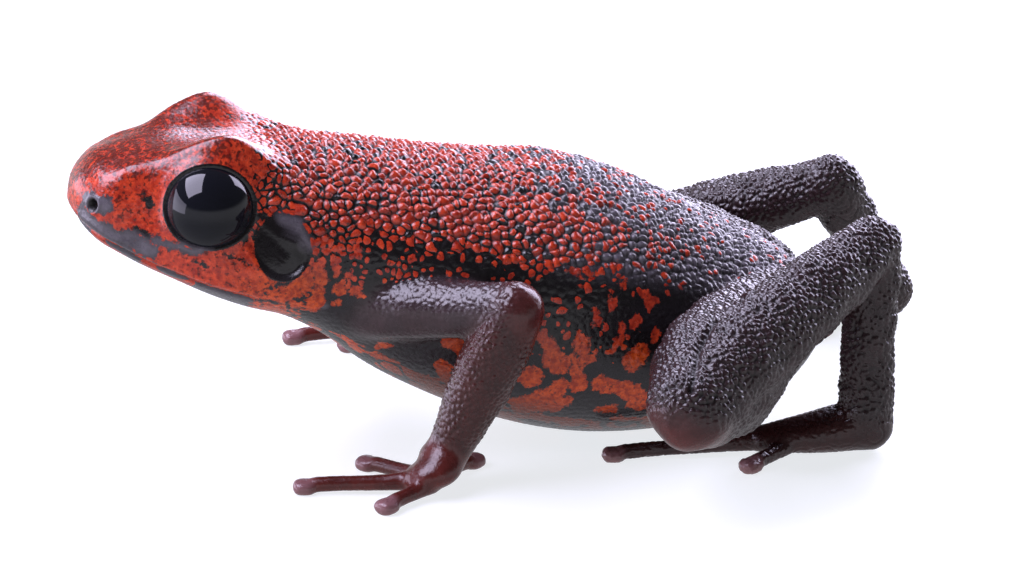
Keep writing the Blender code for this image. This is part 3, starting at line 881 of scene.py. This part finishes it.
def paint(mesh, skin, cell, place, crevice, rng):
    """Writes where the skin is red, orange, black, slate or maroon, where it is peppered, and where shade
    is painted: in creases, nostrils and under the belly.
    """
    y, turn, body, share = skin.y, skin.turn, skin.body, skin.share
    count = cell.max() + 1
    chance, tone, size = (rng.uniform(0, 1, count)[cell] for _ in range(3))
    patch = soft_noise(skin.points, 1.2, rng)
    wave = skin.waves - 0.5
    at = y + 1.5 * wave - 1.6 * bell(turn, 40, 22)

    # A cell of the body is red by chance, more rarely towards the rear and down the flank.
    side = step(*FLANK_COLOUR, turn - skin.neck)
    wanted = 0.97 - 0.42 * step(-0.2, 3.4, at) - 0.40 * step(2.8, 6.0, at)
    wanted *= 1 - side * (0.32 + 0.18 * step(-2.5, 1.5, y))
    wanted += side * 0.90 * (patch - 0.5)
    top = 0.87 - 0.14 * step(1.0, 5.0, at) * (1 - side) - 0.16 * side + 0.34 * (size - 0.5)
    top -= 0.08 * step(0, 10, skin.neck) * step(40, 52, turn)
    red = np.where(chance < wanted, 0.5 + (top - place) / 0.36, 0.0)

    # The head is red all over. The belly has no red cells, but a mosaic on its underside.
    head = 1 - step(*RED_HEAD_ENDS, y + 0.8 * wave - 1.1 * step(74, 88, turn))
    red = np.maximum(red, 1.4 * head)
    belly = step(*BELLY_COLOUR, turn + 6 * wave) * step(*BELLY_STARTS, y)
    mosaic = step(*BELLY_MOSAIC, turn)
    lines = step(0.04, 0.10, np.abs(patch - 0.5)) * step(0.36, 0.42, skin.waves)
    red = red * (1 - belly * (1 - mosaic)) + belly * mosaic * (lines - red)

    # The jaw is slate below the mouth, with red spots.
    distance, _, above = line_distance(skin.points[:, 1:], MOUTH_LINE)
    jaw = step(-0.05, 0.03, -distance * above) * (1 - step(*JAW_ENDS, y)) * body
    spots = step(0.62, 0.68, patch + 0.4 * wave)
    red = np.minimum(red, 1.4 - 1.4 * jaw * (1 - spots))

    # Marks, nostrils, lids and ears.
    slate = 0.7 * jaw
    for strokes, wet in ((SLATE_MARKS, 1.0), (SOOT_MARKS, 0.0)):
        depth = skin.marks(strokes)
        red = np.minimum(red, 0.5 - depth / MARK_SOFT)
        slate = np.maximum(slate, wet * np.clip(0.5 + depth / SLATE_SOFT, 0, 1))
    red = np.maximum(red, 0.5 + skin.marks(NECK_SPOTS + BELLY_SPOTS + FLANK_SPOTS) / MARK_SOFT)
    # Painted shade in the nostril pits: no red or slate there, and the crease shade on top.
    nostrils = skin.near_places([(NOSTRIL, 0.24)], 0.6)
    slate *= 1 - nostrils
    red *= 1 - nostrils
    crevice = np.maximum(crevice, nostrils)
    rim = 1 - step(0.99, 1.06, skin.lids)
    red = np.minimum(red, 1.2 - 2.0 * rim)
    red = np.minimum(red, 0.5 + (skin.ear - 1.08) / 0.16)
    red = np.clip(red, 0, 1) * step(0.35, 0.65, body)

    # Where the red is peppered or turns orange, and under the belly a duller brown with painted shade;
    # and where the black turns slate or maroon.
    pepper = head * (0.50 + 0.80 * (1 - step(28, 52, turn)))
    pepper *= 1 - 0.4 * step(70, 84, turn)
    orange = 0.5 * step(*FLANK_ORANGE, turn + 10 * wave) * step(-7.5, -5.0, y)
    # Painted shade: past 0.5 the field takes the orange to the darker brown of the underside.
    orange += 0.5 * step(*SHADED_UNDERSIDE, turn) * step(-3.5, -1.0, y)
    slate = np.maximum(slate, body * 0.12 * step(86, 96, turn))
    slate = np.maximum(slate, body * 0.90 * step(1.0, 4.5, y) * (1 - side))
    slate = np.maximum(slate, 0.22 * share["upper_arm"] + 0.08 * skin.leg)
    maroon = 0.12 * skin.leg + 0.16 * share["upper_arm"] + 0.42 * share["forearm"]
    maroon += 0.90 * share["hand"] + 0.26 * share["foot"]
    maroon += 0.6 * skin.limb * skin.near_places(SMOOTH_PLACES[:2], 0.4)
    tips = [(*tip, DISC_DEPTH) for limb in (ARMS, LEGS) for way in limb.values() for tip in way["tips"]]
    pads = skin.end * skin.near_places([(tip, 0.75) for tip in tips], 0.6, (1,))
    fields = (red, tone, crevice, pepper, orange, slate, np.clip(maroon, 0, 1), pads)
    for name, values in zip(SKIN_FIELDS, fields):
        write_field(mesh, name, values)


def srgb(text):
    """A linear colour with alpha from a hex colour."""
    parts = [int(text[i : i + 2], 16) / 255 for i in (1, 3, 5)]
    return (*[p / 12.92 if p <= 0.04045 else ((p + 0.055) / 1.055) ** 2.4 for p in parts], 1.0)


def colour(name, description, text):
    """A colour that the user can change."""
    return bpy.props.FloatVectorProperty(
        name=name, description=description, default=srgb(text), size=4, min=0, max=1, subtype="COLOR"
    )


def slider(name, description, default, **kind):
    """A number that the user can change."""
    return bpy.props.FloatProperty(name=name, description=description, default=default, **kind)


def size_slider(name, description, metres):
    return slider(name, description, metres, unit="LENGTH", precision=6)


def angle_slider(name, description, degrees):
    return slider(name, description, math.radians(degrees), subtype="ANGLE")


class FrogSkinSettings(bpy.types.PropertyGroup):
    """Sizes and colours of the skin."""

    mesh_size: size_slider("Mesh size", "Width of the skin's faces before they are halved", 0.000082)
    granule_spacing: size_slider("Granule spacing", "Least distance between the back's granules", 0.00020)
    granule_height: size_slider("Granule height", "Height of the back's granules over creases", 0.00012)
    lid_thickness: size_slider("Lid thickness", "How far the lids' edge stands over the eye", 0.00007)
    seed: bpy.props.IntProperty(
        name="Seed", description="Changes the scatter of granules and spots", default=7
    )
    light_red: colour("Light red", "Lightest pigment of the red granules", "#CE4322")
    dark_red: colour("Dark red", "Darkest pigment of the red granules", "#84190F")
    # Painted shade in the creases between red granules.
    red_crease: colour("Red crease", "Creases between red granules", "#2A0B08")
    pepper: colour("Pepper", "Dark specks on the red of the head", "#35110D")
    light_orange: colour("Light orange", "Lightest pigment of throat and belly", "#C44812")
    dark_orange: colour("Dark orange", "Darkest pigment of throat and belly", "#92280A")
    # Under the belly: a duller pigment, darkened further as painted shade.
    light_underside: colour("Light underside", "Lightest pigment under the belly", "#6C260E")
    dark_underside: colour("Dark underside", "Darkest pigment under the belly", "#401408")
    light_soot: colour("Light soot", "Lightest pigment of the black skin", "#161012")
    dark_soot: colour("Dark soot", "Darkest pigment of the black skin", "#0B090A")
    # Painted shade in the creases of the black skin.
    dark_crease: colour("Dark crease", "Creases of the black skin", "#060405")
    light_slate: colour("Light slate", "Lightest pigment of snout and rear", "#6A646C")
    dark_slate: colour("Dark slate", "Darkest pigment of snout and rear", "#3F3A3E")
    light_maroon: colour("Light maroon", "Lightest pigment of hands and forearms", "#6A2822")
    dark_maroon: colour("Dark maroon", "Darkest pigment of hands and forearms", "#36120F")
    pad: colour("Pad", "The discs at the ends of the digits", "#7A5557")


class FrogEyeSettings(bpy.types.PropertyGroup):
    """Size and colour of the eyes."""

    cornea_rise: size_slider("Cornea rise", "How far the cornea stands over the ball", 0.00002)
    dark_eye: colour("Eye", "The dark eye behind the cornea", "#0F1016")


class FrogStageSettings(bpy.types.PropertyGroup):
    """Floor, lights and camera."""

    azimuth: angle_slider("Azimuth", "Way round the frog from its front to the camera", 80)
    elevation: angle_slider("Elevation", "Height of the camera over the horizon", 20)
    distance: size_slider("Distance", "From the camera to its target", 0.19)
    lens: slider("Lens", "Focal length of the camera", 233.1, unit="CAMERA")
    key_light: slider("Key light", "Radiance of the softbox over the head", 10.0)
    key_length: size_slider("Key length", "Longer side of the softbox over the head", 0.34)
    key_width: size_slider("Key width", "Shorter side of the softbox over the head", 0.22)
    rim_light: slider("Rim light", "Radiance of the softbox behind the back", 8.8)
    rim_length: size_slider("Rim length", "Longer side of the softbox behind the back", 0.36)
    rim_width: size_slider("Rim width", "Shorter side of the softbox behind the back", 0.25)
    edge_light: slider("Edge light", "Radiance of the softbox ahead of the snout", 3.2)
    edge_length: size_slider("Edge length", "Longer side of the softbox ahead of the snout", 0.46)
    edge_width: size_slider("Edge width", "Shorter side of the softbox ahead of the snout", 0.14)
    sweep_light: slider("Sweep light", "Radiance of the white sweep at the horizon", 0.85)
    room_light: slider("Room light", "Radiance of the room above the sweep", 0.10)
    softbox_tint: colour("Softbox tint", "Colour of all the softboxes", "#E6E0FF")


def add_node(tree, kind, inputs, output=0, **settings):
    """Adds a node with its settings, its inputs' values or links, and returns one output."""
    made = tree.nodes.new(f"ShaderNode{kind}")
    for name, value in settings.items():
        setattr(made, name, value)
    for socket, value in inputs.items():
        if isinstance(value, bpy.types.NodeSocket):
            tree.links.new(value, made.inputs[socket])
        else:
            made.inputs[socket].default_value = value
    return made.outputs[output] if len(made.outputs) else None


def emptied(owner):
    """Clears a material's or world's nodes, and returns the function that adds one to them."""
    owner.use_nodes = True
    owner.node_tree.nodes.clear()
    return functools.partial(add_node, owner.node_tree)


# What a Map Range node takes: a value, its ends, and what it gives there, by default 0 and 1.
RANGE = ("Value", "From Min", "From Max", "To Min", "To Max")

# The skin's noise patterns: repeat in millimetres, detail and roughness.
SKIN_PATTERNS = {
    "edge": (0.18, 4.0, 0.65),
    "speck": (0.13, 3.0, 0.60),
    "mottle": (0.16, 3.0, 0.60),
    "shaded_underside": (0.35, 3.0, 0.60),
    "soot": (0.40, 2.0, 0.50),
    "slate": (0.30, 3.0, 0.50),
    "maroon": (0.60, 3.0, 0.50),
    "film": (0.25, 3.0, 0.50),
    # Real wrinkles are about half as wide, which would be too fine to show.
    "wrinkle": (0.09, 3.0, 0.60),
}


def wet_frog_skin(settings):
    """Living frog skin, grown in granules and kept wet by a thin film of mucus.

    The film gives small sharp glints over a soft sheen. The pigment below it is mottled and
    peppered. The creases between the granules get painted shade and are rougher, and under the
    belly painted shade darkens a duller brown pigment.
    """
    made = bpy.data.materials.new("wet_frog_skin")
    node = emptied(made)
    place = node("TexCoord", {}, "Object")
    field = {name: node("Attribute", {}, "Fac", attribute_name=name) for name in SKIN_FIELDS}
    noise = {}
    for name, (repeat, detail, rough) in SKIN_PATTERNS.items():
        inputs = {"Vector": place, "Scale": METRE / repeat, "Detail": detail, "Roughness": rough}
        noise[name] = node("TexNoise", inputs)

    edge = node("Math", {0: noise["edge"], 1: 1.3, 2: field["red"]}, operation="MULTIPLY_ADD")
    speck = node("Math", {0: field["pepper"], 1: 0.15, 2: noise["speck"]}, operation="MULTIPLY_ADD")
    shares = {
        "red": (edge, 1.07, 1.23),
        "specks": (speck, 0.60, 0.68, 0.0, 0.80),
        "mottle": (noise["mottle"], 0.38, 0.62),
        "warm": (field["orange"], 0.0, 0.5),
        "shaded_underside": (field["orange"], 0.5, 1.0),
        "crease_shade": (field["crevice"], 0.35, 0.95, 0.0, 0.70),
        "film": (noise["film"], 0.30, 0.70, 0.18, 0.31),
    }
    share = {name: node("MapRange", dict(zip(RANGE, values))) for name, values in shares.items()}
    both = node("Math", {0: field["tone"], 1: share["mottle"]}, operation="ADD")
    share["shade"] = node("Math", {0: both, 1: 0.5}, operation="MULTIPLY")

    # Layers of pigment: the name of each, its share of the second colour, and both colours,
    # which are layers before it or settings.
    layers = (
        ("bright", share["shade"], "dark_red", "light_red"),
        ("warm", share["mottle"], "dark_orange", "light_orange"),
        # The underside's brown is a duller pigment with painted shade in it.
        ("dull", noise["shaded_underside"], "dark_underside", "light_underside"),
        ("warm", share["shaded_underside"], "warm", "dull"),
        ("red", share["warm"], "bright", "warm"),
        ("red", share["specks"], "red", "pepper"),
        # Painted shade in the creases of the red skin.
        ("red", share["crease_shade"], "red", "red_crease"),
        ("soot", noise["soot"], "dark_soot", "light_soot"),
        ("slate", noise["slate"], "dark_slate", "light_slate"),
        ("dark", field["slate"], "soot", "slate"),
        ("maroon", noise["maroon"], "dark_maroon", "light_maroon"),
        ("dark", field["maroon"], "dark", "maroon"),
        ("dark", field["pads"], "dark", "pad"),
        # Painted shade in the creases of the dark skin.
        ("dark", share["crease_shade"], "dark", "dark_crease"),
        ("skin", share["red"], "dark", "red"),
    )
    tint = {}
    for name, amount, *pair in layers:
        first, second = (tint[part] if part in tint else getattr(settings, part) for part in pair)
        tint[name] = node("Mix", {0: amount, 6: first, 7: second}, 2, data_type="RGBA")

    wrinkles = node("Bump", {"Height": noise["wrinkle"], "Strength": 0.45, "Distance": 0.00003})
    inputs = {0: share["crease_shade"], 1: 0.35, 2: share["film"]}
    roughness = node("Math", inputs, operation="MULTIPLY_ADD")
    film = {"IOR": 1.48, "Coat Weight": 0.25, "Coat Roughness": 0.10, "Coat IOR": 1.38}
    inputs = {"Base Color": tint["skin"], "Roughness": roughness, "Normal": wrinkles, **film}
    node("OutputMaterial", {"Surface": node("BsdfPrincipled", inputs)})
    return made


def plain_material(name, inputs):
    """A material that is the same all over."""
    made = bpy.data.materials.new(name)
    node = emptied(made)
    node("OutputMaterial", {"Surface": node("BsdfPrincipled", inputs)})
    return made


def wet_black_eye(settings):
    """A frog's dark eye behind its smooth wet cornea, which mirrors the lights sharply."""
    tears = {"Coat Weight": 0.15, "Coat Roughness": 0.02}
    inputs = {"Base Color": settings.dark_eye, "Roughness": 0.06, "IOR": 1.376, **tears}
    return plain_material("wet_black_eye", inputs)


def lit_acrylic():
    """Cast opal acrylic with a satin surface, lit from below: shadows on it stay pale."""
    lamps = {"Emission Color": srgb("#F8FBFF"), "Emission Strength": 0.80}
    return plain_material("lit_acrylic", {"Base Color": srgb("#8E8E92"), "Roughness": 0.6, **lamps})


def studio_room(settings):
    """A white sweep round the table, which fades into a dim room above it and dims below."""
    world = bpy.data.worlds.new("studio")
    node = emptied(world)
    way = node("TexCoord", {}, "Generated")
    height = node("SeparateXYZ", {"Vector": way}, "Z")
    strength = 1.0
    for ends in ((0.06, 0.24, settings.sweep_light, settings.room_light), (-0.60, 0.0, 0.58, 1.0)):
        inputs = dict(zip(RANGE, (height, *ends)))
        fade = node("MapRange", inputs, interpolation_type="SMOOTHSTEP")
        strength = node("Math", {0: strength, 1: fade}, operation="MULTIPLY")
    light = node("Background", {"Color": srgb("#F0F0F8"), "Strength": strength})
    node("OutputWorld", {"Surface": light})
    return world


def hang_softbox(name, settings):
    """A rectangular softbox that faces the frog from its way, as bright as its radiance says."""
    parts = ("length", "width", "light")
    long_side, short_side, radiance = (getattr(settings, f"{name}_{part}") for part in parts)
    softbox = bpy.data.lights.new(f"{name}_softbox", "AREA")
    softbox.shape = "RECTANGLE"
    softbox.size = long_side
    softbox.size_y = short_side
    softbox.energy = radiance * math.pi * long_side * short_side
    softbox.color = settings.softbox_tint[:3]
    way, long_way = SOFTBOXES[name]
    facing = Vector(way).normalized()
    across = facing.cross(Vector(long_way)).normalized()
    along = across.cross(facing)
    hung = bpy.data.objects.new(f"{name}_softbox", softbox)
    hung.matrix_world = Matrix((along, across, facing)).transposed().to_4x4()
    hung.location = facing * SOFTBOX_AWAY
    bpy.context.scene.collection.objects.link(hung)


def scene_shift():
    """From the tables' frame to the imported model's, in metres."""
    low, high = (np.array(corner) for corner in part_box("eye_left"))
    return (low + high) / 2 - np.array(EYE_CENTRE) * MM


class FROG_OT_skin(bpy.types.Operator):
    """Builds the one skin that covers head, body and limbs"""

    bl_idname = "frog.skin"
    bl_label = "Build the skin"

    def execute(self, context):
        settings = context.scene.frog_skin
        rng = np.random.default_rng(settings.seed)
        marks, faces, parts = joined_rings(frog_forms())
        thing = new_object("frog_skin", marks, faces)
        voxel = settings.mesh_size * METRE
        apply_modifier(thing, "REMESH", mode="VOXEL", voxel_size=voxel, use_smooth_shade=True)
        smooth_skin(thing.data)
        points = read_points(thing.data)
        number = nearest_parts(points, marks, parts)
        average = averager(read_edges(thing.data), len(points))
        for i, name in enumerate(PARTS):
            share = (number == i).astype(float)
            for _ in range(BORDER_ROUNDS):
                share = average(share)
            write_field(thing.data, name, share)
        apply_modifier(thing, "SUBSURF", levels=1, render_levels=1)

        mesh = thing.data
        points = read_points(mesh)
        points = carve_face(points, read_normals(mesh), read_field(mesh, "body"))
        write_points(mesh, open_lids(points, settings))
        skin = Skin(mesh, rng, context.scene.frog_stage)
        cell, place, crevice, lift = granulate(skin, settings, rng)
        points = skin.points + read_normals(mesh) * lift[:, None]
        points[:, 2] = np.maximum(points[:, 2], 0.0)
        paint(mesh, skin, cell, place, crevice, rng)
        for name in PARTS:
            mesh.attributes.remove(mesh.attributes[name])
        write_points(mesh, points * MM + scene_shift())
        mesh.shade_smooth()
        mesh.materials.clear()
        mesh.materials.append(wet_frog_skin(settings))
        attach(thing, "root")
        flesh = ["head", "lower_jaw", "torso"]
        for side in ("left", "right"):
            flesh += [f"{name}_{side}" for name in PARTS[1:]]
        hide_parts(*flesh)
        return {"FINISHED"}


class FROG_OT_eyes(bpy.types.Operator):
    """Builds both glossy black eyes"""

    bl_idname = "frog.eyes"
    bl_label = "Build the eyes"

    def execute(self, context):
        settings = context.scene.frog_eyes
        shift = scene_shift()
        black = wet_black_eye(settings)
        for name, side in (("left", 1), ("right", -1)):
            facing = eye_axes(side)[0]
            rings = ball_rings(np.zeros(3), (EYE_BALL,) * 3, 96, 64)
            points, faces, _ = joined_rings([("body", rings)])
            rise = settings.cornea_rise * METRE * step(0.55, 1.0, points @ facing / EYE_BALL)
            points = points * (1 + rise / EYE_BALL)[:, None] + mirrored(EYE_CENTRE, side)
            eye = new_object(f"wet_eye_{name}", points * MM + shift, faces)
            eye.data.shade_smooth()
            eye.data.materials.append(black)
            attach(eye, "root")
            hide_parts(f"eye_{name}")
        return {"FINISHED"}


class FROG_OT_stage(bpy.types.Operator):
    """Lays the floor, hangs the lights and sets up the camera"""

    bl_idname = "frog.stage"
    bl_label = "Set the stage"

    def execute(self, context):
        settings = context.scene.frog_stage
        scene = context.scene
        ways = ((-1, -1, 0), (1, -1, 0), (1, 1, 0), (-1, 1, 0))
        floor = new_object("floor", np.array(ways) * FLOOR_HALF, [(0, 1, 2, 3)])
        floor.data.materials.append(lit_acrylic())
        # The skin mirrors the dimmer lower half of the world instead of the lit table top.
        floor.visible_glossy = False

        for name in SOFTBOXES:
            hang_softbox(name, settings)
        scene.world = studio_room(settings)

        camera = bpy.data.cameras.new("camera")
        camera.lens = settings.lens
        camera.sensor_width = SENSOR_WIDTH
        camera.clip_start = 0.01
        camera.clip_end = 10.0
        held = bpy.data.objects.new("camera", camera)
        back = Vector(camera_ways(settings)[2])
        held.location = Vector(np.array(CAMERA_TARGET) * MM + scene_shift()) + back * settings.distance
        held.rotation_euler = back.to_track_quat("Z", "Y").to_euler()
        scene.collection.objects.link(held)
        scene.camera = held
        scene.view_settings.view_transform = "Standard"
        return {"FINISHED"}


class FROG_PT_panel(bpy.types.Panel):
    """Lists the frog's pieces"""

    bl_idname = "FROG_PT_panel"
    bl_label = "Poison frog"
    bl_space_type = "VIEW_3D"
    bl_region_type = "UI"
    bl_category = "Frog"

    def draw(self, context):
        for operator in OPERATORS:
            self.layout.operator(operator.bl_idname)


GROUPS = {
    "frog_skin": FrogSkinSettings,
    "frog_eyes": FrogEyeSettings,
    "frog_stage": FrogStageSettings,
}
OPERATORS = (FROG_OT_skin, FROG_OT_eyes, FROG_OT_stage)


def register():
    for kind in (*GROUPS.values(), *OPERATORS, FROG_PT_panel):
        bpy.utils.register_class(kind)
    for name, kind in GROUPS.items():
        setattr(bpy.types.Scene, name, bpy.props.PointerProperty(type=kind))


def unregister():
    for name in GROUPS:
        delattr(bpy.types.Scene, name)
    for kind in (FROG_PT_panel, *reversed(OPERATORS), *GROUPS.values()):
        bpy.utils.unregister_class(kind)


def main():
    register()
    bpy.ops.frog.skin()
    bpy.ops.frog.eyes()
    bpy.ops.frog.stage()


if __name__ == "__main__":
    main()
